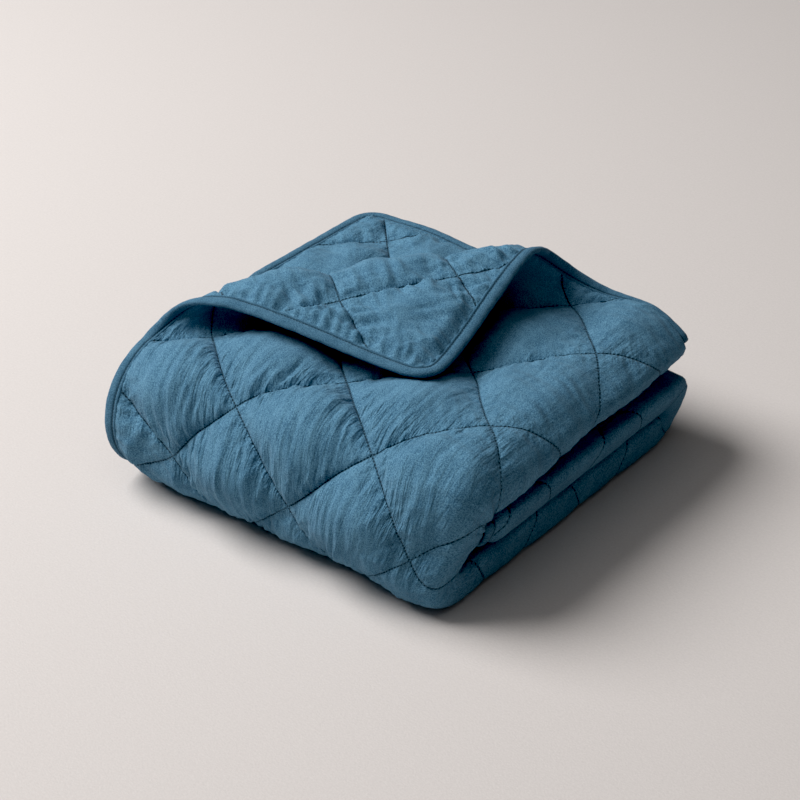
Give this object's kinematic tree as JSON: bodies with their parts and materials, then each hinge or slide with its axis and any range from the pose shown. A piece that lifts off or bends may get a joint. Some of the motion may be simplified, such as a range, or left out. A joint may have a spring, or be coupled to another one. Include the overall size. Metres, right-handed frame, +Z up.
{
  "type": "folded duvet",
  "caption": "Diamond-quilted filled duvet with a bound edge, doubled and folded in three, one top corner turned back; bedding that rests flat on a surface.",
  "frame": {"origin": "middle of the bounding box, on the surface the duvet rests on", "axes": "+Z up, +X towards the rolled side of the first fold, -Y towards the large front bend"},
  "size_m": [0.5288, 0.544, 0.2557],
  "materials": {
    "quilted_cloth": "soft brushed matt weave",
    "binding_cloth": "soft brushed matt weave"
  },
  "bodies": {
    "root": {"quilted_panel": "quilted_cloth", "edge_binding": "binding_cloth"}
  },
  "joints": []
}
